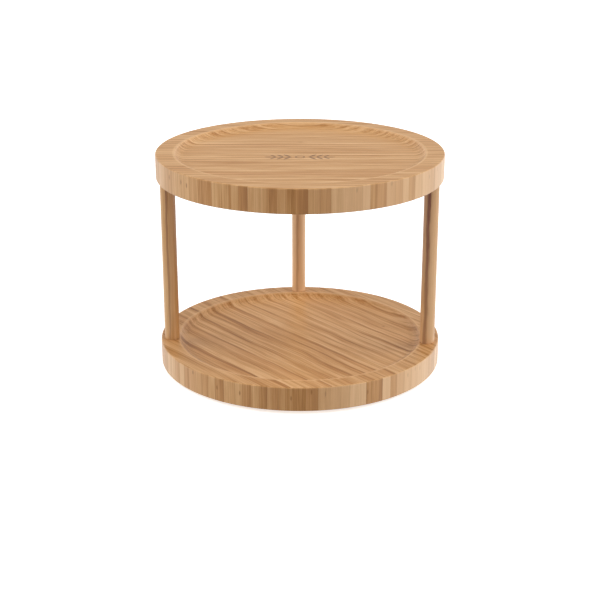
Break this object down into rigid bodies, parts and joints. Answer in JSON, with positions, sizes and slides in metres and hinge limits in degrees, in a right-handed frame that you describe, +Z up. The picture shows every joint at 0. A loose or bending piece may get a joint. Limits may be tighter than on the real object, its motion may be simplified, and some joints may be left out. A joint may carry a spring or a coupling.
{
  "type": "lazy susan turntable",
  "caption": "Two-tier round bamboo turntable: two dished trays joined by slim round posts, turning on a thin ball bearing with rubber feet.",
  "frame": {"origin": "on the axis of rotation, at the level of the table that the rubber feet stand on", "axes": "+Z up along the axis of rotation, +X to the right and -Y towards the viewer: the back post stands on +Y, the others at the left and right"},
  "size_m": [0.242, 0.242, 0.1875],
  "materials": {
    "bamboo_tray": "satin lacquered bamboo boards, straight strips on top, upright staves round the side",
    "bamboo_post": "satin lacquered bamboo, grain along the post",
    "dowel_wood": "plain sanded wood",
    "zinc_screw": "zinc plated",
    "pressed_steel": "zinc plated pressed sheet",
    "cage_plastic": "moulded",
    "ball_steel": "polished",
    "foot_rubber": "moulded, matt"
  },
  "bodies": {
    "base": {"foot_plate": "pressed_steel", "foot_1": "foot_rubber", "foot_2": "foot_rubber", "foot_3": "foot_rubber", "foot_4": "foot_rubber", "foot_5": "foot_rubber", "foot_6": "foot_rubber"},
    "ball_ring": {"ball_cage": "cage_plastic", "bearing_balls": "ball_steel"},
    "turntable": {"lower_tray": "bamboo_tray", "upper_tray": "bamboo_tray", "post_left": "bamboo_post", "post_right": "bamboo_post", "post_back": "bamboo_post", "dowel_pin_left": "dowel_wood", "dowel_pin_right": "dowel_wood", "dowel_pin_back": "dowel_wood", "post_screws": "zinc_screw", "mount_plate": "pressed_steel", "mount_screws": "zinc_screw"}
  },
  "joints": [
    {"name": "turntable_spin", "type": "hinge", "parent": "base", "child": "turntable", "pos_m": [0, 0, 0.0046], "axis": [0, 0, 1], "continuous": true},
    {"name": "ball_ring_spin", "type": "hinge", "parent": "base", "child": "ball_ring", "pos_m": [0, 0, 0.0046], "axis": [0, 0, 1], "continuous": true}
  ],
  "couplings": [
    {"joint": "ball_ring_spin", "follows": "turntable_spin", "ratio": 0.5}
  ]
}
